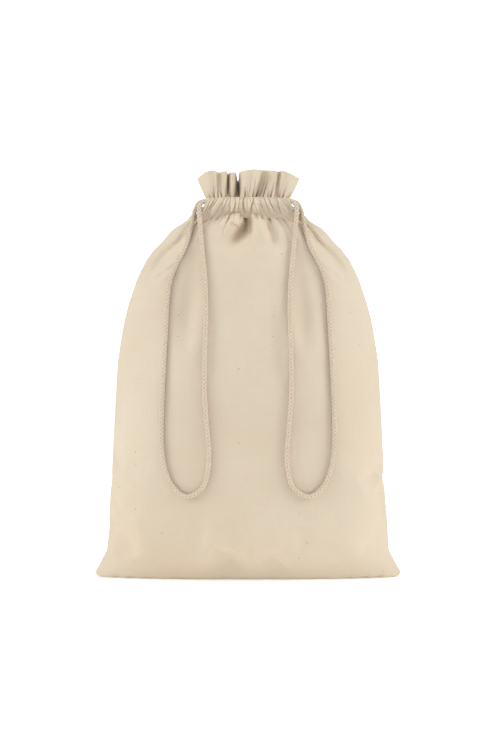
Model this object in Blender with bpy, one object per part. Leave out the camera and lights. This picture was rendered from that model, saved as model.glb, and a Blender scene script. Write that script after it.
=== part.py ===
"""Drawstring treat pouch: two cotton panels, a stitched casing with two closed cords, and a ruffle above it.

Metres, +Z up. The origin is on the floor, under the middle of the pouch. -Y is the front.
"""

import math

import bmesh
import bpy
from mathutils import Matrix, Vector

# Cloth
WALL = 0.0016  # cloth thickness, kept thick enough to carry contact
EDGE = 0.0010  # cloth thickness where a panel thins to a seam
GAP = 0.0003  # clearance between neighbours that touch
SEAM = GAP / 2  # each panel stops this far from the seam's plane

# Body: (height, half width) and (height, half depth) of the filled pouch
HALF_WIDTH = [
    (0.000, 0.1480), (0.005, 0.1500), (0.018, 0.1430), (0.036, 0.1380), (0.125, 0.1325),
    (0.223, 0.1260), (0.272, 0.1160), (0.302, 0.1050), (0.332, 0.0830), (0.356, 0.0540),
]
HALF_DEPTH = [
    (0.000, 0.0280), (0.018, 0.0360), (0.060, 0.0450), (0.125, 0.0500), (0.223, 0.0560),
    (0.272, 0.0540), (0.302, 0.0480), (0.332, 0.0360), (0.356, 0.0222),
]
BODY_TOP = 0.3558
LEVELS = [0.0, 0.005, 0.011, 0.018, 0.027, 0.038, 0.055, 0.08, 0.11, 0.15, 0.19, 0.223,
          0.25, 0.272, 0.29, 0.305, 0.32, 0.334, 0.346, BODY_TOP]
COLUMNS = 24
EAR_POWER = 1.15  # a section is pinched to a point at the bottom corners
BODY_POWER = 0.53  # and is nearly an ellipse above them
EAR_HEIGHT = 0.060
PINCHED_HEIGHT = 0.030

# Casing: the tunnel round the neck that the cords run in
CASING_HALF_LENGTH = 0.0385
CASING_Y = 0.0162  # from the pouch's middle plane to the tunnel's middle
CASING_Z = 0.3660
CASING_HALF_DEPTH = 0.0072
CASING_HALF_HEIGHT = 0.0092
CASING_ROUNDING = 3.0  # the section's superellipse exponent
GATHER_DEPTH = 0.0008
GATHER_PITCH = 0.0117

# Ruffle above the casing
RUFFLE_BASE_Z = 0.3757
RUFFLE_TOP_Z = 0.4005
RUFFLE_DROP = 0.0070  # the hem is this much lower at the sides
RUFFLE_BASE = (0.0400, 0.0125, 0.0040)  # half width, depth at the sides, added depth in the middle
RUFFLE_TOP = (0.0495, 0.0140, 0.0150)
RUFFLE_PLEATS = 7
RUFFLE_PLEAT_DEPTH = 0.0025
RUFFLE_HINGE_Y = 0.0165  # each half tips outwards about its base's outer edge

# Cords
CORD_RADIUS = 0.0025
CORD_SIDES_RESOLUTION = 2
LEVEL_OFFSET = 0.0042  # the cords run this far above and below the tunnel's middle
CROSSING_OFFSET = 0.00275  # and pass each other side by side in the middle
CROSSING_HALF = 0.0080
LEAD = 0.0030  # straight cord at each end of a leg
RETURN_X = 0.0450
HINGE_X = 0.0522  # the loop swings about this place, where its outer leg leaves the neck
HINGE_Y = -0.0095
HINGE_Z = 0.3615
JOIN_HALF_LENGTH = 0.0060

# The hanging loop seen from the front: (x, z) from its outer leg round to its inner leg
LOOP_ROUTE = [
    (-0.0523, 0.3586), (-0.0545, 0.3460), (-0.0578, 0.3300), (-0.0650, 0.3140), (-0.0725, 0.3000),
    (-0.0777, 0.2820), (-0.0800, 0.2530), (-0.0817, 0.2130), (-0.0837, 0.1740), (-0.0850, 0.1450),
    (-0.0838, 0.1200), (-0.0788, 0.1005), (-0.0695, 0.0872), (-0.0575, 0.0825), (-0.0460, 0.0880),
    (-0.0387, 0.1030), (-0.0367, 0.1250), (-0.0392, 0.1550), (-0.0415, 0.1840), (-0.0412, 0.2235),
    (-0.0395, 0.2630), (-0.0405, 0.2925), (-0.0432, 0.3170), (-0.0455, 0.3400), (-0.0467, 0.3575),
]
LOOP_POINTS = 64

# Threads and seams
THREAD_RADIUS = 0.0004
THREAD_HEIGHT = 0.0076  # each row of stitching is this far above or below the tunnel's middle
SEAM_WIDTH = 0.0060
SEAM_NARROW_WIDTH = 0.0024  # near the pinched bottom corners
SEAM_HALF_THICKNESS = 0.0008
SEAM_EDGE_HALF_THICKNESS = 0.0001
SEAM_LOW, SEAM_HIGH = 0.018, 0.334
BOTTOM_SEAM_HALF_LENGTH = 0.1200

COTTON = (0.78, 0.68, 0.53, 1.0)
CORD_COTTON = (0.74, 0.64, 0.49, 1.0)
THREAD_COTTON = (0.80, 0.72, 0.58, 1.0)


def material(name, colour, roughness):
    made = bpy.data.materials.new(name)
    made.use_nodes = True
    shader = made.node_tree.nodes["Principled BSDF"]
    shader.inputs["Base Color"].default_value = colour
    shader.inputs["Roughness"].default_value = roughness
    shader.inputs["Metallic"].default_value = 0.0
    return made


def along(stations, at):
    """The value of a smooth curve through (place, value) stations, by a cubic between neighbours."""
    places = [place for place, _ in stations]
    at = min(max(at, places[0]), places[-1])
    i = max(k for k in range(len(places) - 1) if places[k] <= at)

    def slope(k):
        low, high = max(k - 1, 0), min(k + 1, len(stations) - 1)
        return (stations[high][1] - stations[low][1]) / (places[high] - places[low])

    step = places[i + 1] - places[i]
    t = (at - places[i]) / step
    return (
        (2 * t**3 - 3 * t**2 + 1) * stations[i][1]
        + (t**3 - 2 * t**2 + t) * step * slope(i)
        + (3 * t**2 - 2 * t**3) * stations[i + 1][1]
        + (t**3 - t**2) * step * slope(i + 1)
    )


def section(share, z):
    """How full the body's section is at a share of its half width: 1 in the middle, 0 at the seam."""
    rise = min(z / EAR_HEIGHT, 1.0)
    rise = rise * rise * (3 - 2 * rise)
    power = EAR_POWER + (BODY_POWER - EAR_POWER) * rise
    return max(1 - share * share, 0.0) ** power


def panel_depth(x, z):
    """How far the cloth's outside stands from the middle plane."""
    share = min(abs(x) / along(HALF_WIDTH, z), 1.0)
    return SEAM + EDGE + along(HALF_DEPTH, z) * section(share, z)


def resting_on_panel(x, z, clear):
    """A point in front of the panel, its distance measured square to the cloth."""
    z = min(z, BODY_TOP)
    step = 0.001
    across = (panel_depth(x + step, z) - panel_depth(x - step, z)) / (2 * step)
    up = (panel_depth(x, z) - panel_depth(x, z - step)) / step
    slant = min(math.sqrt(1 + across**2 + up**2), 2.2)
    return -panel_depth(x, z) - clear * slant


def shell(name, outer, inner, look):
    """A closed solid between two grids of points that have the same rows and columns."""
    rows, columns = len(outer), len(outer[0])
    mesh = bmesh.new()
    skins = [[[mesh.verts.new(p) for p in row] for row in grid] for grid in (outer, inner)]
    for r in range(rows - 1):
        for c in range(columns - 1):
            for skin, step in ((skins[0], 1), (skins[1], -1)):
                corners = [skin[r][c], skin[r][c + 1], skin[r + 1][c + 1], skin[r + 1][c]]
                mesh.faces.new(corners[::step])
    rim = [(0, c) for c in range(columns)] + [(r, columns - 1) for r in range(1, rows)]
    rim += [(rows - 1, c) for c in range(columns - 2, -1, -1)] + [(r, 0) for r in range(rows - 2, 0, -1)]
    for (r, c), (s, d) in zip(rim, rim[1:] + rim[:1]):
        mesh.faces.new([skins[0][r][c], skins[1][r][c], skins[1][s][d], skins[0][s][d]])
    return finished(name, mesh, look)


def finished(name, mesh, look):
    bmesh.ops.recalc_face_normals(mesh, faces=mesh.faces)
    data = bpy.data.meshes.new(name)
    mesh.to_mesh(data)
    mesh.free()
    data.shade_smooth()
    data.set_sharp_from_angle(angle=math.radians(50))
    data.materials.append(look)
    made = bpy.data.objects.new(name, data)
    bpy.context.scene.collection.objects.link(made)
    return made


def turned(points, side):
    """Points of the front (side -1) or, turned half a turn about Z, of the back (side 1)."""
    return [Vector((p[0] * -side, p[1] * -side, p[2])) for p in points]


def panel(name, side, look):
    """One panel of cloth from the bottom seam, along the floor, up the body to the casing."""
    angles = [math.pi * (c / COLUMNS - 0.5) for c in range(COLUMNS + 1)]
    shares = [math.sin(a) for a in angles]
    base = along(HALF_WIDTH, 0.0)
    outer = [turned([(base * u, -SEAM, 0.0) for u in shares], side)]
    inner = [turned([((base - WALL) * u, -SEAM, WALL) for u in shares], side)]
    for z in LEVELS:
        width, depth = along(HALF_WIDTH, z), along(HALF_DEPTH, z)
        full = [section(u, z) for u in shares]
        outer.append(turned([(width * u, -SEAM - EDGE - depth * f, z) for u, f in zip(shares, full)], side))
        inner.append(turned([
            ((width - WALL) * u, -SEAM - (EDGE + depth - WALL) * f, max(z, WALL)) for u, f in zip(shares, full)
        ], side))
    return shell(name, outer, inner, look)


def casing_section(half_depth, half_height, x, gathered):
    """A rounded rectangle round the tunnel's middle, whose front bulges between the gathers."""
    points = []
    for k in range(16):
        angle = 2 * math.pi * k / 16
        c, s = math.cos(angle), math.sin(angle)
        scale = (abs(c) ** CASING_ROUNDING + abs(s) ** CASING_ROUNDING) ** (-1 / CASING_ROUNDING)
        y, z = half_depth * c * scale, half_height * s * scale
        if gathered and y < 0:
            y -= GATHER_DEPTH * (1 + math.cos(2 * math.pi * x / GATHER_PITCH)) / 2 * -c
        points.append((x, -CASING_Y + y, CASING_Z + z))
    return points


def casing(name, side, look):
    """The front or back half of the tunnel, open at both ends."""
    steps = 21
    mesh = bmesh.new()
    rings = []
    for k in range(steps + 1):
        x = CASING_HALF_LENGTH * (2 * k / steps - 1)
        sizes = ((CASING_HALF_DEPTH, CASING_HALF_HEIGHT, True),
                 (CASING_HALF_DEPTH - WALL, CASING_HALF_HEIGHT - WALL, False))
        rings.append([
            [mesh.verts.new(p) for p in turned(casing_section(depth, height, x, gathered), side)]
            for depth, height, gathered in sizes
        ])
    count = len(rings[0][0])
    for k in range(count):
        n = (k + 1) % count
        for (outside, inside), (next_outside, next_inside) in zip(rings, rings[1:]):
            mesh.faces.new([outside[k], outside[n], next_outside[n], next_outside[k]])
            mesh.faces.new([inside[n], inside[k], next_inside[k], next_inside[n]])
        for outside, inside in (rings[0], rings[-1]):
            mesh.faces.new([outside[k], outside[n], inside[n], inside[k]])
    return finished(name, mesh, look)


def ruffle(name, side, look):
    """The hem above the casing, which flares out in soft pleats."""
    rows = 5
    grids = []
    for thickness in (0.0, WALL):
        grid = []
        for r in range(rows + 1):
            rise = r / rows
            half, sides, bow = (low + (high - low) * rise for low, high in zip(RUFFLE_BASE, RUFFLE_TOP))
            row = []
            for c in range(COLUMNS * 2 + 1):
                angle = math.pi * (c / (COLUMNS * 2) - 0.5)
                share = math.sin(angle)
                wave = RUFFLE_PLEAT_DEPTH * rise * math.cos(2 * RUFFLE_PLEATS * angle) * math.cos(angle)
                depth = sides + bow * math.cos(angle) + wave - thickness
                z = RUFFLE_BASE_Z + (RUFFLE_TOP_Z - RUFFLE_BASE_Z - RUFFLE_DROP * share**2) * rise
                row.append((half * share * (1 - thickness / half), -depth, z))
            grid.append(turned(row, side))
        grids.append(grid)
    return shell(name, grids[0], grids[1], look)


def smooth_route(knots, count):
    """Points evenly shared along a Catmull-Rom curve through the knots."""
    knots = [Vector(k) for k in knots]
    fine = []
    for i in range(len(knots) - 1):
        before = knots[max(i - 1, 0)]
        a, b = knots[i], knots[i + 1]
        after = knots[min(i + 2, len(knots) - 1)]
        for k in range(12):
            t = k / 12
            fine.append(
                0.5 * ((2 * a) + (b - before) * t + (2 * before - 5 * a + 4 * b - after) * t * t
                       + (3 * a - before - 3 * b + after) * t**3)
            )
    fine.append(knots[-1])
    lengths = [0.0]
    for a, b in zip(fine, fine[1:]):
        lengths.append(lengths[-1] + (b - a).length)
    made, k = [], 0
    for n in range(count):
        target = lengths[-1] * n / (count - 1)
        while k < len(fine) - 2 and lengths[k + 1] < target:
            k += 1
        share = (target - lengths[k]) / (lengths[k + 1] - lengths[k])
        made.append(fine[k].lerp(fine[k + 1], share))
    return made


def tube(name, points, radius, look):
    """A round cord or thread along the points, closed at both ends."""
    data = bpy.data.curves.new(name, "CURVE")
    data.dimensions = "3D"
    data.bevel_depth = radius
    data.bevel_resolution = CORD_SIDES_RESOLUTION
    data.use_fill_caps = True
    spline = data.splines.new("POLY")
    spline.points.add(len(points) - 1)
    for target, point in zip(spline.points, points):
        target.co = (*point, 1.0)
    data.materials.append(look)
    made = bpy.data.objects.new(name, data)
    bpy.context.scene.collection.objects.link(made)
    return made


def with_origin(thing, place):
    """The same object with its origin at a place on its joint's axis."""
    thing.data.transform(Matrix.Translation(-Vector(place)))
    thing.location = place
    return thing


def mirrored(points, side):
    """Points given for the left cord, or mirrored in X for the right cord (side 1)."""
    return [(p[0] * -side, p[1], p[2]) for p in points]


def cord(side_name, side, look):
    """One closed cord: two legs out of the casing, the loop that hangs, and the part round the far end."""
    upper, lower = CASING_Z + LEVEL_OFFSET, CASING_Z - LEVEL_OFFSET
    inner_end = -CROSSING_HALF - LEAD - GAP
    front = [
        (inner_end, -CASING_Y, upper), (-0.020, -CASING_Y, upper), (-0.030, -CASING_Y, upper),
        (-0.0360, -CASING_Y, upper), (-0.0415, -0.0172, 0.3698), (-0.0458, -0.0190, 0.3672),
        (-0.0476, -0.0200, 0.3618),
    ]
    back = [
        (inner_end, CASING_Y, upper), (-0.020, CASING_Y, upper), (-0.030, CASING_Y, upper),
        (-0.0360, CASING_Y, upper), (-0.0415, 0.0154, 0.3706), (-0.0460, 0.0115, 0.3710),
        (-0.0490, 0.0045, 0.3699), (-0.0508, -0.0030, 0.3672), (-HINGE_X, -0.0085, HINGE_Z + 0.0006),
    ]
    exit_point = (side * HINGE_X, HINGE_Y, HINGE_Z)
    for name, route, count in (("front_leg", front, 12), ("back_leg", back, 17)):
        leg = tube(f"{side_name}_cord_{name}", smooth_route(mirrored(route, side), count), CORD_RADIUS, look)
        with_origin(leg, exit_point)

    clear = CORD_RADIUS + 2 * GAP
    loop = [(x, resting_on_panel(x, z, clear), z) for x, z in LOOP_ROUTE]
    hanging = tube(f"{side_name}_cord_loop", smooth_route(mirrored(loop, side), LOOP_POINTS), CORD_RADIUS, look)
    with_origin(hanging, exit_point)

    # Inside the casing each cord drops to the lower level, and passes the other cord on its own side.
    step = CROSSING_OFFSET * (1 if side < 0 else -1)
    half = [
        (-CROSSING_HALF - LEAD, -CASING_Y, upper), (-CROSSING_HALF, -CASING_Y, upper), (-0.0040, -CASING_Y - step * 0.9, upper - 0.0022),
        (0.0, -CASING_Y - step, CASING_Z), (0.0040, -CASING_Y - step * 0.9, lower + 0.0022),
        (CROSSING_HALF, -CASING_Y, lower), (0.0150, -CASING_Y, lower), (0.0250, -CASING_Y, lower),
        (0.0350, -CASING_Y, lower), (0.0398, -0.0159, lower), (0.0434, -0.0134, lower),
        (RETURN_X, -0.0090, lower), (RETURN_X, 0.0, lower),
    ]
    back_half = [(x, -y, z) for x, y, z in reversed(half[:-1])]
    join = 0.0250
    whole = smooth_route(half + back_half, 56)
    reach = JOIN_HALF_LENGTH + LEAD
    before = [p for p in whole if p.y < 0 or p.x > join + reach]
    after = [p for p in whole if p.y > 0 and p.x < join - reach]
    ends = [(join + share * JOIN_HALF_LENGTH, CASING_Y, lower) for share in (1, -1)]
    before.append(Vector(ends[0]) + Vector((GAP, 0, 0)))
    after.insert(0, Vector(ends[1]) - Vector((GAP, 0, 0)))
    tube(f"{side_name}_cord_return", mirrored(before, side), CORD_RADIUS, look)
    tube(f"{side_name}_cord_tail", mirrored(after, side), CORD_RADIUS, look)
    return mirrored(ends, side)


def casing_thread(name, side, height, look):
    """A row of lockstitch along the casing, lying on the cloth."""
    share = abs(height) / CASING_HALF_HEIGHT
    surface = CASING_HALF_DEPTH * (1 - share**CASING_ROUNDING) ** (1 / CASING_ROUNDING)
    y = -CASING_Y - surface - GATHER_DEPTH - GAP - THREAD_RADIUS
    ends = [(-CASING_HALF_LENGTH, y, CASING_Z + height), (0.0, y, CASING_Z + height),
            (CASING_HALF_LENGTH, y, CASING_Z + height)]
    return tube(name, turned(ends, side), THREAD_RADIUS, look)


def side_seam(name, side, look):
    """The overlocked seam allowance, which stands inside the pouch along one side."""
    outer, inner = [], []
    for z in [z for z in LEVELS if SEAM_LOW <= z <= SEAM_HIGH]:
        x = along(HALF_WIDTH, z) - WALL - 2 * GAP
        reach = SEAM_WIDTH if z > PINCHED_HEIGHT else SEAM_NARROW_WIDTH
        ends = ((x, SEAM_EDGE_HALF_THICKNESS), (x - reach, SEAM_HALF_THICKNESS))
        outer.append([(side * x, -half, z) for x, half in ends])
        inner.append([(side * x, half, z) for x, half in ends])
    return shell(name, outer, inner, look)


def bottom_seam(name, look):
    """The seam allowance that lies inside along the bottom."""
    ends = (-BOTTOM_SEAM_HALF_LENGTH, BOTTOM_SEAM_HALF_LENGTH)
    z = WALL + GAP
    outer = [[(x, y, z) for x in ends] for y in (-SEAM_WIDTH / 2, SEAM_WIDTH / 2)]
    inner = [[(x, y, z + 2 * SEAM_HALF_THICKNESS) for x, y, z in row] for row in outer]
    return shell(name, outer, inner, look)


def main():
    for old in list(bpy.data.objects):
        bpy.data.objects.remove(old)
    cotton = material("cotton", COTTON, 0.9)
    cord_cotton = material("cord_cotton", CORD_COTTON, 0.9)
    thread = material("thread", THREAD_COTTON, 0.7)

    for face, side in (("front", -1), ("back", 1)):
        panel(f"{face}_panel", side, cotton)
        casing(f"{face}_casing", side, cotton)
        with_origin(ruffle(f"{face}_ruffle", side, cotton), (0.0, side * RUFFLE_HINGE_Y, RUFFLE_BASE_Z))
        casing_thread(f"{face}_upper_stitching", side, THREAD_HEIGHT, thread)
        casing_thread(f"{face}_lower_stitching", side, -THREAD_HEIGHT, thread)

    for side_name, side in (("left", -1), ("right", 1)):
        ends = cord(side_name, side, cord_cotton)
        tube(f"{side_name}_cord_join", ends, CORD_RADIUS, thread)
        side_seam(f"{side_name}_side_seam", side, thread)
    bottom_seam("bottom_seam", thread)


main()
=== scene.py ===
"""Looks of the drawstring treat pouch: calico cloth, gathered casing, frill, braided cords and stitching.

Metres, +Z up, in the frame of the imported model. -Y is the front.
"""

import math

import bmesh
import bpy
import numpy as np
from mathutils import Matrix, Vector, noise
from mathutils.bvhtree import BVHTree

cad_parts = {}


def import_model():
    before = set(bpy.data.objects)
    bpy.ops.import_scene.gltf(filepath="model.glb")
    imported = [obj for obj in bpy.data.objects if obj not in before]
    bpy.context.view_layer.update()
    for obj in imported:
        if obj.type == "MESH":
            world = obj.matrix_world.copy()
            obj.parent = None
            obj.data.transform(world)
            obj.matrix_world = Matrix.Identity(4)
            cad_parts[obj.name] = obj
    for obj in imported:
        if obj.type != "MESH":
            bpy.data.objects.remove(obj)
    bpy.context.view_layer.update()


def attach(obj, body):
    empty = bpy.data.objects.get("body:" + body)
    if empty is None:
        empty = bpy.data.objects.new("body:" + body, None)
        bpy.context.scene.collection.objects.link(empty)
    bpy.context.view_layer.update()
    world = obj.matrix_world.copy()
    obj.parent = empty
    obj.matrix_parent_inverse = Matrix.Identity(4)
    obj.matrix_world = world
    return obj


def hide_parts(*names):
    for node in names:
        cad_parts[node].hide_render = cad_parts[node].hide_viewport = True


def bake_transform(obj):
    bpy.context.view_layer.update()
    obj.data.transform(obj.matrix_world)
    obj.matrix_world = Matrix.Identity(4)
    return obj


MM = 0.001

# The flat cut of one panel, below the casing, and the thickness of the cloth
PANEL_HALF_WIDTH = 0.158
PANEL_HEIGHT = 0.392
PANEL_TOP = 0.3585
CLOTH = 0.0006

# The filled pouch: (height, half width), and (height, half depth) that the simulation starts from
HALF_WIDTH = [
    (0.000, 0.1480), (0.005, 0.1496), (0.017, 0.1440), (0.027, 0.1390), (0.036, 0.1380),
    (0.056, 0.1370), (0.095, 0.1340), (0.135, 0.1320), (0.174, 0.1300), (0.214, 0.1275),
    (0.233, 0.1245), (0.253, 0.1210), (0.273, 0.1157), (0.292, 0.1090), (0.302, 0.1050),
    (0.312, 0.1000), (0.322, 0.0925), (0.332, 0.0830), (0.337, 0.0790), (0.343, 0.0730),
    (0.348, 0.0655), (0.354, 0.0585), (0.3585, 0.0525),
]
HALF_DEPTH = [
    (0.000, 0.0280), (0.018, 0.0360), (0.060, 0.0450), (0.125, 0.0500), (0.223, 0.0550),
    (0.272, 0.0520), (0.302, 0.0460), (0.332, 0.0340), (0.3585, 0.0190),
]
FOOT_DEPTH = 0.028
FLOOR_GAP = 0.0003
RIPPLE = 0.004
# Above this height the mesh is finer, and the gathers of the panels' top edges are this deep
FINE_ABOVE = 0.325
TOP_GATHERS = 0.0078

# The ring of the casing's lower stitches, which holds the panels' top edges
NECK_HALF_WIDTH = 0.0505
NECK_HALF_DEPTH = 0.0165
NECK_DROP = 0.0020

# Simulation: the cloth's cells, the gap between the panels laid flat, the frames it runs for and the pressure
CELL = 0.0045
FLAT_GAP = 0.001
FRAMES = 25
PRESSURE = 4.0

# Casing: high is its upper row of stitches and low its lower one. The drops are how far its ends lie below
# its middle, and the bow is how much nearer they are to the middle plane.
CASING_HALF_LENGTH_HIGH = 0.0405
CASING_HALF_LENGTH_LOW = 0.0490
CASING_HIGH = 0.3730
CASING_HIGH_DROP = 0.0015
CASING_LOW = 0.3535
CASING_LOW_DROP = 0.0075
CASING_Y = 0.0162
CASING_BOW = 0.0010
CASING_HALF_DEPTH = 0.0066
# Its gathers: how many there are to half its length, how deep they are in the middle, and how much less
# at the ends
PLEATS = 10.5
GATHERS_MIDDLE = 0.0092
GATHERS_FALL = 0.0058
# How far its outside keeps off its middle, to clear the cords: in the middle, more at the ends, how softly
OVER_CORDS_MIDDLE = 0.0006
OVER_CORDS_ENDS = 0.0017
OVER_CORDS_SOFT = 0.0012

# Frill: its bend is the band that turns with a fold, from the part that stays to the part that moves
FRILL_THICKNESS = 0.0009
FRILL_FOOT_HALF_LENGTH = 0.040
FRILL_ROUGHNESS = 0.0010

# Cords: the braid repeats every pitch, and its bumps stand out from the mean by a share of the radius
CORD_RADIUS = 0.0024
CORD_PITCH = 0.0037
CORD_STRANDS = 3
BRAID_STEP = 0.0005
BRAID_AROUND = 24
BRAID_MEAN = 0.93
BRAID_BUMP = 0.13
# How far the middle of a laid cord is from the cloth, as a share of its radius
LAY_SHARE = 0.96

# Stitches: the rows are (name, rise in the casing)
STITCH_RADIUS = 0.00028
STITCH_LENGTH = 0.0022
STITCH_GAP = 0.0010
STITCH_PROUD = 0.0002
STITCH_ROWS = [("upper", 0.955), ("lower", 0.16)]

# Seam allowances: how far each line of them stands inwards, or to the front and back on the bottom one
SEAM_THICKNESS = 0.0012
SIDE_SEAM_REACH = (0.0012, 0.0035, 0.0065)
BOTTOM_SEAM_REACH = (-0.0025, 0.0, 0.0025)
BOTTOM_SEAM_LIFT = 0.0016


def along(stations, at):
    """Linear interpolation through (place, value) stations."""
    places, values = zip(*stations)
    return np.interp(at, places, values)


def smoothstep(t):
    """0 below 0, 1 above 1, and a smooth rise between."""
    t = np.clip(t, 0.0, 1.0)
    return t * t * (3 - 2 * t)


def travelled_along(points):
    """The length travelled up to each point of a line."""
    return np.concatenate([[0], np.cumsum(np.linalg.norm(np.diff(points, axis=0), axis=1))])


def placed(name, data):
    """A new object in the scene, with this mesh, lamp or camera."""
    made = bpy.data.objects.new(name, data)
    bpy.context.scene.collection.objects.link(made)
    return made


def grid_mesh(name, points, closed=False):
    """An object from rows of points; closed joins the last column to the first."""
    points = np.asarray(points)
    rows, columns = points.shape[:2]
    faces = []
    for r in range(rows - 1):
        here, above = r * columns, (r + 1) * columns
        for c in range(columns if closed else columns - 1):
            n = (c + 1) % columns
            faces.append((here + c, here + n, above + n, above + c))
    mesh = bpy.data.meshes.new(name)
    mesh.from_pydata(points.reshape(-1, 3).tolist(), [], faces)
    mesh.update()
    return placed(name, mesh)


def apply_modifiers(thing):
    """Turns what the modifiers and shape keys make into the object's own mesh."""
    graph = bpy.context.evaluated_depsgraph_get()
    graph.update()
    mesh = bpy.data.meshes.new_from_object(thing.evaluated_get(graph))
    thing.modifiers.clear()
    if thing.data.shape_keys:
        thing.shape_key_clear()
    thing.data = mesh
    mesh.shade_smooth()
    return thing


def thicken(thing, thickness, offset=-1.0):
    """Gives a sheet its thickness: inwards, or to both sides with offset 0."""
    solid = thing.modifiers.new("cloth", "SOLIDIFY")
    solid.thickness = thickness
    solid.offset = offset
    solid.use_even_offset = False
    return apply_modifiers(thing)


# ---------------------------------------------------------------- materials

COTTON = (0.735, 0.615, 0.458)
COTTON_PALE = (0.755, 0.640, 0.484)
COTTON_DEEP = (0.710, 0.585, 0.426)
SLUB_SHADE = (0.90, 0.88, 0.85)
SEED = (0.30, 0.20, 0.11)
# The cord's colours hold painted shade and highlight: darkest in the braid's grooves, palest where its
# strands cross and stand out
CORD_GROOVE_SHADE = (0.48, 0.39, 0.28)
CORD_SIDE = (0.68, 0.565, 0.42)
CORD_TOP_HIGHLIGHT = (0.725, 0.61, 0.46)
THREAD_DEEP = (0.72, 0.62, 0.46)
THREAD_PALE = (0.86, 0.78, 0.63)
WHITE = (1.0, 1.0, 1.0)
FLOOR_DEEP = (0.87, 0.87, 0.87)
FLOOR_PALE = (0.89, 0.89, 0.89)

# Calico: the weave's bands, the share of the slubs' tone, and the seed flecks
WEAVE_SCALE = 190.0
SLUB_SHARE = 0.30
FLECK_SCALE = 120.0
FLECK_SIZE = 0.085
FLECKS_LEFT_OUT = 0.90

# The cord's tone: how much of it is painted shade and highlight from the braid's grooves and crossings, and
# how much from its fibres
GROOVE_SHADE_SHARE = 0.75
FIBRE_SHARE = 0.25

# The floor's glow, each as (from, to, glow at from, glow at to): by the distance from a line under the front
# of the pouch, and, added to it, by the distance behind the pouch
FOOT_LINE = -0.04
GLOW_NEAR = (0.02, 0.10, 0.22, 0.30)
GLOW_BEHIND = (0.03, 0.60, 0.0, 0.56)


class Nodes:
    """A small helper to write a node material."""

    def __init__(self, name):
        self.material = bpy.data.materials.new(name)
        self.material.use_nodes = True
        self.tree = self.material.node_tree
        self.shader = self.tree.nodes["Principled BSDF"]
        self.place = self.add("ShaderNodeTexCoord").outputs["Object"]

    def add(self, kind, **settings):
        """A new node; a setting is one of its own properties, or else the number of an input."""
        node = self.tree.nodes.new(kind)
        for key, value in settings.items():
            if hasattr(node, key):
                setattr(node, key, value)
            else:
                node.inputs[key.replace("_", " ")].default_value = value
        return node

    def link(self, output, target):
        self.tree.links.new(output, target)

    def surface(self, **numbers):
        """Sets numbers of the shader itself, such as Roughness or Sheen_Weight."""
        for key, value in numbers.items():
            self.shader.inputs[key.replace("_", " ")].default_value = value

    def noise(self, scale, detail=2.0, roughness=0.5, stretch=None):
        node = self.add("ShaderNodeTexNoise", Scale=scale, Detail=detail, Roughness=roughness)
        self.link(self.place if stretch is None else self.stretched(stretch), node.inputs["Vector"])
        return node.outputs["Fac"]

    def stretched(self, scale):
        node = self.add("ShaderNodeMapping")
        node.inputs["Scale"].default_value = scale
        self.link(self.place, node.inputs["Vector"])
        return node.outputs["Vector"]

    def maths(self, operation, a, b=None, clamp=False):
        node = self.add("ShaderNodeMath", operation=operation, use_clamp=clamp)
        for socket, value in zip(node.inputs, (a, b)):
            if value is None:
                continue
            if isinstance(value, (int, float)):
                socket.default_value = value
            else:
                self.link(value, socket)
        return node.outputs[0]

    def map_range(self, value, low, high, to_low, to_high):
        node = self.add("ShaderNodeMapRange")
        numbers = {"From Min": low, "From Max": high, "To Min": to_low, "To Max": to_high}
        for socket, number in numbers.items():
            node.inputs[socket].default_value = number
        self.link(value, node.inputs["Value"])
        return node.outputs["Result"]

    def ramp(self, factor, stops):
        node = self.add("ShaderNodeValToRGB")
        ramp = node.color_ramp
        while len(ramp.elements) < len(stops):
            ramp.elements.new(0.5)
        for element, (place, colour) in zip(ramp.elements, stops):
            element.position = place
            element.color = (*colour, 1.0)
        self.link(factor, node.inputs["Fac"])
        return node.outputs["Color"]

    def mix(self, factor, a, b, blend="MIX"):
        node = self.add("ShaderNodeMix", data_type="RGBA", blend_type=blend)
        for name, value in (("Factor", factor), ("A", a), ("B", b)):
            socket = node.inputs[name]
            if isinstance(value, (int, float)):
                socket.default_value = value
            elif isinstance(value, tuple):
                socket.default_value = (*value, 1.0)
            else:
                self.link(value, socket)
        return node.outputs["Result"]

    def bump(self, height, strength, distance, below=None):
        node = self.add("ShaderNodeBump")
        node.inputs["Strength"].default_value = strength
        node.inputs["Distance"].default_value = distance
        self.link(height, node.inputs["Height"])
        if below is not None:
            self.link(below, node.inputs["Normal"])
        return node.outputs["Normal"]


def seed_flecks(n):
    """A few of the small dots of a cell pattern, picked by the cell's colour, some fainter than others."""
    cells = n.add("ShaderNodeTexVoronoi", Scale=FLECK_SCALE)
    n.link(n.place, cells.inputs["Vector"])
    small = n.maths("LESS_THAN", cells.outputs["Distance"], FLECK_SIZE)
    chosen = n.add("ShaderNodeSeparateColor")
    n.link(cells.outputs["Color"], chosen.inputs["Color"])
    few = n.maths("GREATER_THAN", chosen.outputs["Red"], FLECKS_LEFT_OUT)
    faint = n.noise(310.0, 0.0, 0.5)
    return n.maths("MULTIPLY", n.maths("MULTIPLY", small, few), faint, clamp=True)


def weave_relief(n, slubs):
    """The relief of the threads, the slubs and the cloth's soft unevenness."""
    bands = []
    for direction in ("X", "Z"):
        wave = n.add(
            "ShaderNodeTexWave", wave_type="BANDS", bands_direction=direction,
            Scale=WEAVE_SCALE, Distortion=1.4, Detail=1.0,
        )
        n.link(n.place, wave.inputs["Vector"])
        bands.append(wave.outputs["Fac"])
    threads = n.bump(n.maths("MAXIMUM", *bands), 0.35, 0.00014)
    slubbed = n.bump(slubs, 0.35, 0.00035, threads)
    return n.bump(n.noise(60.0, 3.0, 0.5), 0.25, 0.0012, slubbed)


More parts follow.
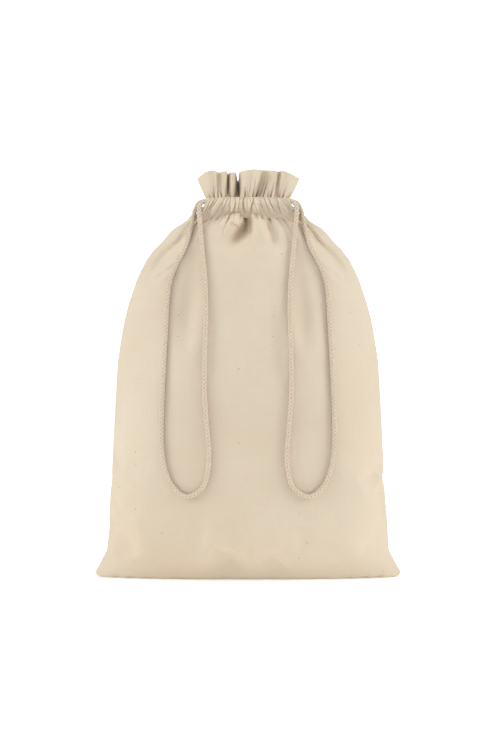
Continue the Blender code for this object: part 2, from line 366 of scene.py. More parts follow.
def calico(name):
    """Unbleached plain weave: fine threads, slubs, faint patches of tone and a few brown seed flecks."""
    n = Nodes(name)
    patches = n.noise(9.0, 4.0, 0.55)
    colour = n.ramp(patches, [(0.30, COTTON_DEEP), (0.52, COTTON), (0.72, COTTON_PALE)])
    slub_across = n.noise(1.0, 3.0, 0.6, stretch=(22, 22, 900))
    slub_up = n.noise(1.0, 3.0, 0.6, stretch=(900, 500, 22))
    slubs = n.maths("ADD", slub_across, slub_up)
    slub_tone = n.ramp(n.maths("MULTIPLY", slubs, 0.5), [(0.35, SLUB_SHADE), (0.5, WHITE)])
    colour = n.mix(SLUB_SHARE, colour, slub_tone, "MULTIPLY")
    colour = n.mix(seed_flecks(n), colour, SEED)
    n.link(colour, n.shader.inputs["Base Color"])
    n.link(weave_relief(n, slubs), n.shader.inputs["Normal"])
    n.surface(Roughness=0.92, Specular_IOR_Level=0.18, Sheen_Weight=0.12, Sheen_Roughness=0.5)
    return n.material


def cord_cotton(name):
    """Braided cotton yarn with fuzz, with painted shade in the grooves between its strands and a painted
    highlight where they cross.
    """
    n = Nodes(name)
    groove_shade = n.add("ShaderNodeAttribute", attribute_name="groove_shade")
    fibres = n.noise(620.0, 3.0, 0.65)
    shade_from_grooves = n.maths("MULTIPLY", groove_shade.outputs["Fac"], GROOVE_SHADE_SHARE)
    from_fibres = n.maths("MULTIPLY", fibres, FIBRE_SHARE)
    tone = n.maths("ADD", shade_from_grooves, from_fibres)
    # painted shade in the grooves and painted highlight on the crossings, mixed with the fibres' random tone
    colour = n.ramp(tone, [(0.12, CORD_GROOVE_SHADE), (0.42, CORD_SIDE), (0.80, CORD_TOP_HIGHLIGHT)])
    n.link(colour, n.shader.inputs["Base Color"])
    n.link(n.bump(fibres, 0.8, 0.0006), n.shader.inputs["Normal"])
    n.surface(Roughness=0.95, Specular_IOR_Level=0.15, Sheen_Weight=0.15)
    return n.material


def thread_cotton(name):
    """Sewing thread, a shade paler than the cloth."""
    n = Nodes(name)
    twist = n.noise(2500.0, 2.0, 0.5)
    colour = n.ramp(twist, [(0.3, THREAD_DEEP), (0.7, THREAD_PALE)])
    n.link(colour, n.shader.inputs["Base Color"])
    n.link(n.bump(twist, 0.4, 0.0001), n.shader.inputs["Normal"])
    n.surface(Roughness=0.8)
    return n.material


def floor_white(name):
    """A matt floor with a glow that keeps it white: weakest under the pouch, and stronger behind it."""
    n = Nodes(name)
    colour = n.ramp(n.noise(3.0, 2.0, 0.5), [(0.3, FLOOR_DEEP), (0.7, FLOOR_PALE)])
    n.link(colour, n.shader.inputs["Base Color"])
    n.surface(Roughness=0.9, Specular_IOR_Level=0.0, Emission_Color=(*WHITE, 1.0))
    place = n.add("ShaderNodeSeparateXYZ")
    n.link(n.place, place.inputs["Vector"])
    from_foot = n.maths("ABSOLUTE", n.maths("ADD", place.outputs["Y"], -FOOT_LINE))
    near = n.map_range(from_foot, *GLOW_NEAR)
    behind = n.map_range(place.outputs["Y"], *GLOW_BEHIND)
    n.link(n.maths("ADD", near, behind), n.shader.inputs["Emission Strength"])
    return n.material


# ---------------------------------------------------------------- the panels


def ring_pleats(s, v):
    """Uneven gathers: 0 in the valleys to 1 on the ridges, at flat place s and height v from 0 to 1."""
    wander = 0.42 * np.sin(5.3 * s + 0.7 + 0.9 * v) + 0.30 * np.sin(13.1 * s + 2.2 * v + 1.0)
    wander = wander + 0.14 * np.sin(29.0 * s - 3.1 * v)
    ridge = np.abs(np.sin(math.pi * (PLEATS * s + wander))) ** 0.62
    second = np.abs(np.sin(math.pi * (PLEATS * 1.83 * s - 0.5 * wander + 0.6 * v))) ** 0.7
    tall = 0.68 + 0.32 * np.sin(17.0 * s + 1.1) * np.cos(6.1 * s - 1.3 * v)
    return (0.74 * ridge + 0.26 * second) * tall


def neck_place(s, side):
    """Where a point of the cut's top edge is held by the casing's lower stitches."""
    angle = s * math.pi / 2
    x = NECK_HALF_WIDTH * (0.75 * np.sin(angle) + 0.25 * s)
    y = NECK_HALF_DEPTH * np.maximum(np.cos(angle), 0.0) ** 0.45
    z = PANEL_TOP - NECK_DROP * s * s
    return x, side * y, z


def start_place(s, rise, side):
    """Where a point of the flat cut starts before the cloth is let go."""
    fullness = math.cos(s * math.pi / 2)
    length = rise * PANEL_HEIGHT
    foot = FOOT_DEPTH * fullness
    if length < foot:
        z = MM
        y = length
        width = along(HALF_WIDTH, 0.0)
    else:
        z = PANEL_TOP * (length - foot) / (PANEL_HEIGHT - foot)
        y = along(HALF_DEPTH, z) * fullness**0.75
        width = along(HALF_WIDTH, z)
    x = width * (0.6 * math.sin(s * math.pi / 2) + 0.4 * s)
    ripple = noise.noise(Vector((abs(x) * 14, z * 14, side * 3 + 5)))
    y += RIPPLE * ripple * min(1.0, y / 0.02)
    near = max(0.0, (rise - 0.92) / 0.08) ** 2
    nx, ny, nz = neck_place(s, 1)
    return x + (nx - x) * near, side * (y + (ny - y) * near), z + (nz - z) * near


def filled_pouch():
    """Both panels as one sewn cloth, filled by pressure over the floor and hung from the casing."""
    columns = round(2 * PANEL_HALF_WIDTH / CELL)
    rows = round(PANEL_HEIGHT / CELL)
    places = []
    flat = []
    numbers = {}
    faces = []

    def number(side, c, r):
        """The number of a grid point; the panels share the points of the side and bottom seams."""
        sewn = c in (0, columns) or r == 0
        key = (0 if sewn else side, c, r)
        if key not in numbers:
            numbers[key] = len(places)
            s = 2 * c / columns - 1
            x, y, z = start_place(s, r / rows, side)
            places.append((x, 0.0 if sewn else y, z))
            apart = 0.0 if sewn else side * FLAT_GAP / 2
            flat.append((s * PANEL_HALF_WIDTH, apart, PANEL_HEIGHT * r / rows))
        return numbers[key]

    for side in (-1, 1):
        for r in range(rows):
            for c in range(columns):
                corners = ((c, r), (c + 1, r), (c + 1, r + 1), (c, r + 1))
                face = [number(side, *corner) for corner in corners]
                faces.append(face[::-side])
    mesh = bpy.data.meshes.new("pouch")
    mesh.from_pydata(places, [], faces)
    pouch = placed("pouch", mesh)
    for kept, values in (("cut", flat), ("start", places)):
        mesh.attributes.new(kept, "FLOAT_VECTOR", "POINT")
        mesh.attributes[kept].data.foreach_set("vector", np.array(values, np.float32).ravel())

    held = pouch.vertex_groups.new(name="held")
    held.add([n for (_, _, r), n in numbers.items() if r == rows], 1.0, "REPLACE")
    pouch.shape_key_add(name="Basis")
    cut_shape = pouch.shape_key_add(name="cut")
    for point, place in zip(cut_shape.data, flat):
        point.co = place
    cut_shape.value = 0.0
    simulate(pouch, cut_shape)
    return apply_modifiers(pouch)


def simulate(pouch, cut_shape):
    """Lets pressure fill the sewn cloth on a floor, with its top edge held, and keeps the last frame."""
    cloth = pouch.modifiers.new("cloth", "CLOTH")
    made = cloth.settings
    made.quality = 6
    made.mass = 0.03
    made.tension_stiffness = 15
    made.compression_stiffness = 8
    made.shear_stiffness = 5
    made.bending_stiffness = 2.0
    made.tension_damping = 5
    made.compression_damping = 5
    made.shear_damping = 5
    made.bending_damping = 0.5
    made.air_damping = 1
    made.effector_weights.gravity = 0.2
    made.vertex_group_mass = "held"
    made.pin_stiffness = 1
    made.use_pressure = True
    made.uniform_pressure_force = PRESSURE
    made.rest_shape_key = cut_shape
    cloth.collision_settings.use_collision = True
    cloth.collision_settings.distance_min = 0.002
    cloth.collision_settings.use_self_collision = False
    floor_mesh = bpy.data.meshes.new("simulation_floor")
    floor_mesh.from_pydata([(-1, -1, 0), (1, -1, 0), (1, 1, 0), (-1, 1, 0)], [], [(0, 1, 2, 3)])
    floor = placed("simulation_floor", floor_mesh)
    floor.modifiers.new("collision", "COLLISION")
    floor.collision.thickness_outer = 0.001
    floor.collision.cloth_friction = 20
    scene = bpy.context.scene
    cloth.point_cache.frame_start = 1
    cloth.point_cache.frame_end = FRAMES
    scene.frame_start = 1
    scene.frame_end = FRAMES
    for frame in range(1, FRAMES + 1):
        scene.frame_set(frame)
    apply_modifiers(pouch)
    scene.frame_set(1)
    bpy.data.objects.remove(floor)


# Folds: (x, z, depth, width to the left, width to the right) down the fold, in millimetres.
# The depth of a ridge is below zero.
FRONT_FOLDS = [
    ((-11, 357, -4.0, 8, 4), (-13, 350, -8.0, 11, 5), (-18, 341, -8.5, 13, 7), (-30, 328, 0.0, 14, 10)),
    (
        (-4, 358, 7, 2, 4), (-1, 349, 15, 3.5, 5), (-3, 341, 17, 7, 6),
        (-12, 333, 13, 10, 8), (-25, 323, 0, 12, 11),
    ),
    ((4, 354, -3.0, 3, 4), (9, 347, -6.5, 4, 5), (13, 339, -5.0, 6, 7), (17, 328, 0.0, 8, 9)),
    ((19, 352, 4.0, 3, 4), (20, 343, 9.0, 3.5, 6), (23, 332, 6.0, 5, 9), (30, 318, 0.0, 8, 12)),
    ((-26, 360, 3.5, 2, 2), (-36, 356.5, 5.0, 2, 2.5), (-47, 352, 3.5, 3, 3), (-60, 345, 0.0, 4, 4)),
    ((-33, 366, 2.0, 2, 2), (-40, 361, 3.5, 2, 2.5), (-47, 357, 2.0, 2, 2)),
    ((29, 362, 3.5, 2, 2), (36, 356, 5.0, 2.5, 2), (46, 352, 3.5, 3, 3), (60, 345, 0.0, 4, 4)),
    ((32, 367, 2.0, 2, 2), (39, 362, 3.5, 2.5, 2), (46, 358, 2.0, 2, 2)),
]
# Short slits between the gathers at the lower stitches: (x, depth, width), in millimetres
FRONT_SLITS = [
    (-33, 3.0, 1.6), (-26, 5.0, 1.6), (-21, 5.5, 1.7), (-16, 4.5, 1.2), (-7, 3.5, 1.2), (-1.5, 4.0, 1.4),
    (3, 4.5, 1.3), (7.0, 6.0, 1.8), (12.5, 4.0, 1.3), (18, 5.0, 1.6), (24, 4.5, 1.5), (30, 3.5, 1.5),
    (37, 3.0, 1.3),
]
# Folds from the casing's left end down to the outline, as the front ones; the right shoulder mirrors them
SHOULDER_FOLDS = [
    (
        (-57, 342, 2.0, 4, 4), (-66, 330, 7.0, 5, 5), (-79, 319, 10.0, 7, 5),
        (-89, 307, 9.0, 7, 5), (-101, 290, 0.0, 6, 5),
    ),
    ((-70, 311, -2.0, 4, 5), (-82, 300, -3.5, 4, 5), (-95, 290, 0.0, 5, 5)),
    ((-72, 307, 1.5, 1.4, 2), (-86, 297.5, 4.5, 1.4, 2.5), (-100, 289, 0.0, 1.5, 2)),
    ((-51, 348, 2.0, 4, 4), (-55, 338, 3.0, 5, 5), (-59, 328, 0.0, 5, 5)),
]


def fold_depth(x, z, fold):
    """How deep a fold is pressed at places x, z: most on its line, and less away from it to either side."""
    fold = np.array(fold, float) * MM
    depth = np.zeros(len(x))
    nearest = np.full(len(x), np.inf)
    for a, b in zip(fold, fold[1:]):
        run = b[:2] - a[:2]
        t = np.clip(((x - a[0]) * run[0] + (z - a[1]) * run[1]) / (run @ run), 0, 1)
        off_x = x - a[0] - t * run[0]
        off_z = z - a[1] - t * run[1]
        away = np.hypot(off_x, off_z)
        here = a[2:] + (b[2:] - a[2:]) * t[:, None]
        width = np.where(run[0] * off_z - run[1] * off_x > 0, here[:, 2], here[:, 1])
        closer = away < nearest
        depth[closer] = (here[:, 0] * np.exp(-((away / width) ** 1.6)))[closer]
        nearest[closer] = away[closer]
    return depth


def mirrored_fold(fold):
    """The same fold on the other side of the middle."""
    return tuple((-x, z, depth, right, left) for x, z, depth, left, right in fold)


def slit_fold(x, depth, width):
    """A short fold through the lower stitches, leaning out from the middle on its way down."""
    lean = x * 0.20
    top = (x - lean, 364, 0.0, width, width)
    middle = (x, 357, depth, width, width)
    bottom = (x + lean * 2.0, 346, 0.0, width, width)
    return top, middle, bottom


def middle_folds(face):
    """The folds under the casing; the back's are the front's, seen from behind."""
    folds = FRONT_FOLDS + [slit_fold(*slit) for slit in FRONT_SLITS]
    return folds if face < 0 else [mirrored_fold(fold) for fold in folds]


def pressed(x, z, folds):
    """How deep all these folds together are pressed at places x, z."""
    return sum(fold_depth(x.ravel(), z.ravel(), fold) for fold in folds).reshape(x.shape)


def read_points(mesh, attribute="position"):
    """A vector attribute of the mesh's points, as rows of x, y, z."""
    values = np.empty(len(mesh.vertices) * 3, np.float32)
    mesh.attributes[attribute].data.foreach_get("vector", values)
    return values.reshape(-1, 3).astype(float)


def refine(pouch):
    """Smooths the simulated mesh into finer cells, and finer again near the casing."""
    finer = pouch.modifiers.new("finer", "SUBSURF")
    finer.levels = 1
    finer.render_levels = 1
    apply_modifiers(pouch)
    work = bmesh.new()
    work.from_mesh(pouch.data)
    top = [e for e in work.edges if min(v.co.z for v in e.verts) > FINE_ABOVE]
    bmesh.ops.subdivide_edges(work, edges=top, cuts=1, use_grid_fill=True)
    work.to_mesh(pouch.data)
    work.free()


def steady(points, cut, start):
    """Takes the corners, the foot and the neck back to where they started, clear of stray creases."""
    corner = smoothstep((np.abs(cut[:, 0]) - 0.115) / 0.030) * smoothstep((0.075 - cut[:, 2]) / 0.045)
    foot = smoothstep((0.055 - cut[:, 2]) / 0.035)
    neck = 0.75 * smoothstep((cut[:, 2] - 0.260) / 0.080)
    tidied = np.maximum(np.maximum(corner, foot), neck)[:, None]
    points += (start - points) * tidied


def set_on_floor(points):
    """Lowers the foot of each face, along its whole length, down to the floor."""
    across = np.linspace(-0.15, 0.15, 61)
    for face in (-1, 1):
        belly = points[(points[:, 1] * face > 0.010) & (points[:, 2] < 0.1)]
        lowest = [belly[np.abs(belly[:, 0] - x) < 0.004, 2].min(initial=0.006) for x in across]
        lowest = np.convolve(np.pad(lowest, 2, mode="edge"), np.ones(5) / 5, mode="valid")
        sag = np.interp(points[:, 0], across, lowest) * np.exp(-((points[:, 2] / 0.030) ** 2))
        points[:, 2] -= sag * smoothstep(points[:, 1] * face / 0.010)
    points[:, 2] = np.maximum(points[:, 2], FLOOR_GAP)


def set_outline(points):
    """Scales each half, height by height, so that the side seam follows HALF_WIDTH."""
    heights = np.arange(0.0, PANEL_TOP + 0.004, 0.004)
    fade = smoothstep((PANEL_TOP - points[:, 2]) / 0.004)
    for half in (-1, 1):
        on_half = points[:, 0] * half > 0
        x = points[on_half, 0] * half
        z = points[on_half, 2]
        widths = [x[np.abs(z - h) < 0.0022].max(initial=0.01) for h in heights]
        widths = np.convolve(np.pad(widths, 1, mode="edge"), (0.25, 0.5, 0.25), mode="valid")
        scale = (along(HALF_WIDTH, z) + CLOTH) / np.interp(z, heights, widths)
        points[on_half, 0] *= 1 + (scale - 1) * fade[on_half]


def gather_top(points, cut):
    """Fine gathers that fade out below the casing."""
    s = cut[:, 0] / PANEL_HALF_WIDTH
    below = PANEL_HEIGHT - cut[:, 2]
    side = np.where(cut[:, 1] < 0, -1.0, 1.0)
    reach = 0.016 + 0.014 * s * s + 0.007 * np.sin(19.0 * s + 0.6)
    fine = np.exp(-((below / reach) ** 2)) * np.cos(np.clip(s, -0.99, 0.99) * math.pi / 2) ** 0.5
    points[:, 1] += side * TOP_GATHERS * (ring_pleats(s, 0.0) - 0.6) * fine


def press_folds(points):
    """Presses the folds under the casing and at the shoulders into both faces."""
    shoulders = [*SHOULDER_FOLDS, *(mirrored_fold(fold) for fold in SHOULDER_FOLDS)]
    for face in (-1, 1):
        depth = pressed(points[:, 0], points[:, 2], middle_folds(face) + shoulders)
        points[:, 1] -= face * depth * smoothstep(points[:, 1] * face / 0.004)


def shaped_pouch():
    """The filled pouch with its outline set, fine gathers under the casing, and the folds pressed in."""
    pouch = filled_pouch()
    refine(pouch)
    mesh = pouch.data
    points = read_points(mesh)
    cut = read_points(mesh, "cut")
    steady(points, cut, read_points(mesh, "start"))
    set_on_floor(points)
    set_outline(points)
    gather_top(points, cut)
    press_folds(points)
    mesh.vertices.foreach_set("co", points.astype(np.float32).ravel())
    mesh.update()
    return pouch


def split_panel(pouch, side, name):
    """One panel of the sewn pouch as its own piece, with the cloth's thickness inside."""
    piece = pouch.copy()
    piece.data = pouch.data.copy()
    piece.name = piece.data.name = name
    bpy.context.scene.collection.objects.link(piece)
    work = bmesh.new()
    work.from_mesh(piece.data)
    cut = work.verts.layers.float_vector["cut"]
    gone = [f for f in work.faces if sum(v[cut].y for v in f.verts) * side < 0]
    bmesh.ops.delete(work, geom=gone, context="FACES")
    work.to_mesh(piece.data)
    work.free()
    piece.data.attributes.remove(piece.data.attributes["cut"])
    return thicken(piece, CLOTH)


# ---------------------------------------------------------------- casing and frill


def casing_middle(s):
    """How far the middle of the tunnel is from the middle plane."""
    return CASING_Y - CASING_BOW * s * s


def casing_top(s):
    """The height of the upper stitches."""
    return CASING_HIGH - CASING_HIGH_DROP * s * s


def casing_place(s, rise):
    """A point of the tunnel's middle, fanning out from the upper stitches (rise 1) to the lower (rise 0)."""
    half = CASING_HALF_LENGTH_LOW + (CASING_HALF_LENGTH_HIGH - CASING_HALF_LENGTH_LOW) * rise
    x = half * (0.75 * np.sin(s * math.pi / 2) + 0.25 * s)
    low = CASING_LOW - CASING_LOW_DROP * s * s
    return x, casing_middle(s), low + (casing_top(s) - low) * rise


def gather_depth(s, rise):
    """How far the gathers stand out of the casing: deepest in its middle."""
    return (GATHERS_MIDDLE - GATHERS_FALL * s * s) * (ring_pleats(s, rise) - 0.7)


def casing_outside(s, rise, side, cloth):
    """The tunnel's outside: full over the cords, gathered, and down on the cloth at its lower edge."""
    x, middle, z = casing_place(s, rise)
    laid = np.empty(x.shape)
    rough = np.empty(x.shape)
    for at in np.ndindex(x.shape):
        hit = cloth.ray_cast(Vector((x[at], side * 0.3, z[at])), Vector((0, -side, 0)), 0.3)[0]
        laid[at] = -1.0 if hit is None else hit.y * side
        rough[at] = noise.noise(Vector((x[at] * 180, z[at] * 180, side * 4)))
    laid = np.maximum(laid, middle - 0.0010)
    full = smoothstep(rise / 0.42) * (1 - 0.6 * smoothstep((rise - 0.72) / 0.28))
    fanned = s * (1 - 0.24 * (1 - rise))
    gathered = gather_depth(fanned, rise) * np.minimum(1.0, 0.30 + rise * 2.2)
    y = middle + CASING_HALF_DEPTH * full + gathered + 0.0007 * rough
    y -= 0.6 * pressed(x, z, middle_folds(side))
    over_cords = middle + OVER_CORDS_MIDDLE + OVER_CORDS_ENDS * smoothstep((np.abs(s) - 0.55) / 0.35)
    y = over_cords + OVER_CORDS_SOFT * np.logaddexp(0.0, (y - over_cords) / OVER_CORDS_SOFT)
    low = 1 - smoothstep(rise / 0.5)
    sunk = 0.0003 - 0.0010 * (1 - smoothstep(rise / 0.10))
    y = np.maximum((laid + sunk) * low + y * (1 - low), laid + sunk)
    return x, y, z


def casing_cloth(name, side, cloth):
    """The gathered tunnel, pinched along its two rows of stitches and open at its ends."""
    columns, rows = 300, 20
    s = np.linspace(-1, 1, columns + 1)[:, None]
    rise = 0.5 - 0.5 * np.cos(np.linspace(0, math.pi, rows + 1))[None, :]
    s, rise = np.broadcast_arrays(s, rise)
    x, outside, z = casing_outside(s, rise, side, cloth)
    inside = casing_middle(s) - CASING_HALF_DEPTH * (2 * np.sqrt(rise * (1 - rise))) ** 0.8
    inside = np.minimum(inside, outside - CLOTH)
    outer = np.stack([x, side * outside, z], axis=-1)
    inner = np.stack([x, side * inside, z], axis=-1)[:, -2:0:-1]
    piece = grid_mesh(name, np.concatenate([outer, inner], axis=1), closed=True)
    return thicken(piece, CLOTH)


# The frill's front hem: (x, y, z of the hem, x of its foot at the stitches), in millimetres, from the left
FRONT_HEM = [
    (-48.0, -2, 391.0, -40), (-49.3, -6, 392.2, -39.5), (-46, -12, 395.2, -38), (-42, -17, 397.8, -36),
    (-38, -20.5, 399.4, -34), (-34.5, -21, 399.9, -32), (-32, -18.5, 399.4, -30),
    (-30.2, -15.5, 398.6, -28.6), (-28.2, -14.5, 398.0, -27.4), (-26, -16.5, 398.4, -26),
    (-23.4, -19.5, 399.0, -24), (-21, -18.5, 399.0, -22),
    (-20.2, -11, 397.5, -21), (-19.2, -4, 395.0, -20), (-18.6, -9, 396.5, -18.8), (-17.4, -16, 397.8, -17.6),
    (-15.3, -19.5, 398.0, -15.4), (-12.8, -17.5, 398.0, -13.2), (-11.7, -10, 396.0, -12.2),
    (-10.6, -2, 390.5, -10.8), (-9.2, -1, 390.0, -8.4), (-8.4, -9, 396.0, -7.0), (-8.0, -15, 398.3, -6.2),
    (-5.5, -19.5, 399.2, -4.8), (-1.5, -23, 400.0, -2.2), (3, -24, 400.6, 0.6), (7.5, -22, 400.8, 3.2),
    (11.5, -17.5, 400.7, 5.6), (15, -12.5, 400.4, 7.6), (18, -12, 400.2, 10), (21.5, -15.5, 400, 14.4),
    (25, -19.0, 399.9, 19.4), (28, -18, 399.3, 23.4), (29.7, -15, 398.7, 25.8), (30.2, -13, 398.6, 27.4),
    (31.8, -14.5, 399.6, 28.8), (34.5, -18.5, 399.4, 30.4), (38, -19.5, 398.2, 32.6), (42, -17, 396.6, 35.2),
    (46, -13, 394.6, 37.6), (50, -7.5, 392.4, 39.6), (49, -3, 391.4, 40),
]
# and the back one, seen from the back
BACK_HEM = [
    (-48.5, -5, 391.0, -40), (-48, -10, 392.0, -38.5), (-42, -17, 394.0, -36), (-35, -20, 395.5, -32),
    (-30, -18, 395.5, -29), (-28.5, -10, 394.5, -26.5), (-27, -6, 394.0, -24), (-25, -11, 395.0, -21),
    (-22, -18, 396.0, -18), (-16, -21, 396.0, -13), (-9, -21, 395.5, -8), (-5, -16, 394.5, -5),
    (-4, -8, 394.0, -3), (-1, -5, 393.5, 0), (2, -9, 393.0, 3), (5, -16, 392.0, 6),
    (10, -19, 390.5, 10), (15, -17, 390.8, 14), (17, -11, 393.0, 17), (19, -8, 394.0, 20),
    (22, -12, 395.0, 23), (26, -18, 396.0, 26.5), (32, -21, 396.5, 30.5), (38, -19, 396.0, 34),
    (44, -14, 394.0, 37), (48.5, -8, 391.5, 39.5), (48.5, -4, 391.0, 40),
]

# Tucks that rise from the frill's foot: (x, depth, height), x and depth in millimetres, and the height as
# a share of the frill
FRILL_TUCKS = [
    (-36, 2.0, 0.45), (-32.5, 2.6, 0.6), (-29, 3.0, 0.7), (-25.5, 2.4, 0.55), (-22.3, 3.2, 0.75),
    (-17.5, 1.8, 0.4), (-12.6, 3.4, 0.9), (-8.5, 3.0, 0.8), (-3.2, 2.6, 0.5), (0.8, 2.0, 0.4),
    (4.2, 3.8, 0.6), (7.4, 4.2, 0.8), (10.8, 2.6, 0.5), (14.2, 3.2, 0.6), (18.4, 2.6, 0.45),
    (22.0, 3.0, 0.6), (26.4, 2.8, 0.6), (29.8, 2.4, 0.5), (33.6, 2.4, 0.5), (37.0, 2.0, 0.4),
]


def smooth_curve(knots, count):
    """Points evenly shared along a Catmull-Rom curve through the knots."""
    knots = np.asarray(knots, float)
    ends = np.vstack([2 * knots[0] - knots[1], knots, 2 * knots[-1] - knots[-2]])
    fine = []
    for p, a, b, q in zip(ends, ends[1:], ends[2:], ends[3:]):
        t = np.linspace(0, 1, 16, endpoint=False)[:, None]
        square = 2 * p - 5 * a + 4 * b - q
        cube = 3 * a - p - 3 * b + q
        fine.append(0.5 * (2 * a + (b - p) * t + square * t**2 + cube * t**3))
    fine = np.vstack([*fine, knots[-1:]])
    travelled = travelled_along(fine[:, :3])
    at = np.linspace(0, travelled[-1], count)
    return np.column_stack([np.interp(at, travelled, column) for column in fine.T])


def tuck_depth(foot_x, v):
    """How far the tucks draw the frill in at places foot_x along its foot, at the share v of its height."""
    depth = np.zeros(len(foot_x))
    for tuck_x, deep, tall in FRILL_TUCKS:
        wide = (1.0 + 2.4 * v) * MM
        beside = (foot_x - tuck_x * MM) / wide
        depth += deep * MM * np.exp(-(beside**2)) * (1 - smoothstep(v / tall))
    return depth


def frill_cloth(name, side, hem):
    """One half of the frill, from its foot at the upper stitches to its hem."""
    columns, rows = 420, 26
    knots = smooth_curve(np.array(hem) * MM, columns)
    if side > 0:
        knots[:, 0] *= -1
        knots[:, 3] *= -1
    hem_x, hem_y, hem_z, foot_x = knots.T
    s = foot_x / FRILL_FOOT_HALF_LENGTH
    foot_y = -(casing_middle(s) + 0.4 * CASING_HALF_DEPTH)
    foot_z = casing_top(s) - 0.0006
    reach = 0.44 + 0.20 * np.sin(23.0 * s + 0.4)
    grid = []
    for r in range(rows + 1):
        v = r / rows
        open_y = smoothstep(v * 1.15) * 0.5 + v * 0.5
        x = foot_x + (hem_x - foot_x) * v**0.85
        gather = gather_depth(s, 1.0) * np.exp(-((v / reach) ** 2))
        petal = 0.55 * np.maximum(hem_y + 0.0195, 0.0) * np.cos(s * 1.3) * math.sin(math.pi * v**0.65)
        y = foot_y + (hem_y - foot_y) * open_y + petal - gather
        y += tuck_depth(foot_x * -side, v)
        y += FRILL_ROUGHNESS * np.array([noise.noise(Vector((a * 90, v * 1.6, side * 7))) for a in x])
        z = foot_z + (hem_z - 0.0005 - foot_z) * v
        grid.append(np.column_stack([x, y * -side, z]))
    return thicken(grid_mesh(name, grid), FRILL_THICKNESS, offset=0.0)


# ---------------------------------------------------------------- cords

# The left cord's route, (x, y, z) in millimetres: out of the back casing and round the side of the neck,
# then the hanging loop from its outer leg to its inner leg, (x, z) only, as it is laid on the cloth,
# then into the front casing
BACK_EXIT = [
    (-11.2, 13.8, 370.2), (-20, 13.8, 370.2), (-28, 14.2, 370.2), (-35, 15.2, 370.2), (-40.5, 15.2, 370.0),
    (-44.3, 11.5, 369.8), (-46.8, 4.5, 368.6), (-49.3, -3, 366.0), (-51.3, -8.5, 361.9),
]
LOOP_ROUTE = [
    (-52.6, 358.2), (-55.2, 346.0), (-58.2, 332.0), (-64.6, 317.0), (-72.0, 303.0), (-77.0, 284.0),
    (-79.0, 254.0), (-81.0, 214.0), (-82.8, 175.0), (-83.6, 146.0), (-82.2, 122.0), (-77.4, 103.0),
    (-68.6, 89.0), (-57.5, 84.2), (-46.4, 89.6), (-39.6, 104.0), (-37.6, 125.5), (-39.8, 155.0),
    (-41.8, 184.0), (-41.6, 223.5), (-40.4, 263.0), (-41.4, 292.5), (-43.8, 317.0), (-46.2, 340.0),
    (-47.0, 357.5),
]
FRONT_EXIT = [
    (-47.6, -20.0, 361.8), (-45.8, -19.0, 367.2), (-41.5, -17.0, 369.8), (-35, -15.4, 370.2),
    (-28, -14.2, 370.2), (-20, -13.8, 370.2), (-11.2, -13.8, 370.2),
]
# The same cord's far part, from the front casing round the other end of the neck into the back casing
RETURN_ROUTE = [
    (24, -13.9, 361.8), (33, -15.0, 361.8), (39.4, -15.4, 361.8), (43.4, -13.4, 361.8), (45, -9, 361.8),
    (45, 0, 361.8), (45, 9, 361.8), (43.4, 13.4, 361.8), (39.4, 15.4, 361.8), (33, 15.0, 361.8),
    (24, 13.9, 361.8),
]


def to_metres(route):
    """A route in millimetres as one in metres."""
    return [(x * MM, y * MM, z * MM) for x, y, z in route]


def flipped(points, side):
    """The left cord's points for the left side, or mirrored for the right one."""
    return [(-side * x, y, z) for x, y, z in points]


def cloth_front(x, z, cloth):
    """How far to the front the cloth stands at x, z and close round it."""
    front = 0.0
    for dx in (-1.5, 0.0, 1.5):
        for dz in (-1.5, 0.0, 1.5):
            start = Vector((x + dx * MM, -0.3, z + dz * MM))
            hit = cloth.ray_cast(start, Vector((0, 1, 0)), 0.3)[0]
            if hit is not None:
                front = min(front, hit.y)
    return front


def laid_route(route, cloth, side):
    """The route laid on the front of the cloth, bridging its small hollows."""
    points = smooth_curve([(x, z, 0) for x, z in route], 160) * MM
    depths = np.array([cloth_front(-side * x, z, cloth) for x, z, _ in points])
    lifted = depths
    for _ in range(6):
        padded = np.pad(lifted, 1, mode="edge")
        lifted = np.minimum(0.25 * padded[:-2] + 0.5 * lifted + 0.25 * padded[2:], depths)
    return [(x, y - CORD_RADIUS * LAY_SHARE, z) for (x, z, _), y in zip(points, lifted)]


def braided_cord(name, path):
    """A round braided cord: staggered bumps where its strands cross, along evenly spaced points."""
    path = np.asarray(path)
    steps = int(travelled_along(path)[-1] / BRAID_STEP)
    line = smooth_curve(path, steps)
    tangents = np.gradient(line, axis=0)
    tangents /= np.linalg.norm(tangents, axis=1)[:, None]
    across = np.cross(tangents[0], (0.3, 0.2, 0.9))
    across /= np.linalg.norm(across)
    rings = []
    groove_shades = []
    for n, (place, tangent) in enumerate(zip(line, tangents)):
        across = across - tangent * (across @ tangent)
        across /= np.linalg.norm(across)
        over = np.cross(tangent, across)
        crossing = math.cos(2 * math.pi * n * BRAID_STEP / CORD_PITCH)
        for k in range(BRAID_AROUND):
            angle = 2 * math.pi * k / BRAID_AROUND
            bump = crossing * math.cos(CORD_STRANDS * angle)
            reach = CORD_RADIUS * (BRAID_MEAN + BRAID_BUMP * bump)
            rings.append(place + reach * (across * math.cos(angle) + over * math.sin(angle)))
            # The value for the painted shade of the cord's colour: 0 in the grooves between strands, 1 where
            # they cross and stand out
            groove_shades.append(0.5 + 0.5 * bump)
    piece = grid_mesh(name, np.array(rings).reshape(steps, BRAID_AROUND, 3), closed=True)
    work = bmesh.new()
    work.from_mesh(piece.data)
    bmesh.ops.holes_fill(work, edges=[e for e in work.edges if e.is_boundary])
    bmesh.ops.recalc_face_normals(work, faces=work.faces)
    work.to_mesh(piece.data)
    work.free()
    # kept on the mesh for the cord material's painted shade and highlight
    groove_shade = piece.data.attributes.new("groove_shade", "FLOAT", "POINT")
    groove_shade.data.foreach_set("value", np.array(groove_shades, np.float32))
    piece.data.shade_smooth()
    return piece, line


# ---------------------------------------------------------------- stitches and seams


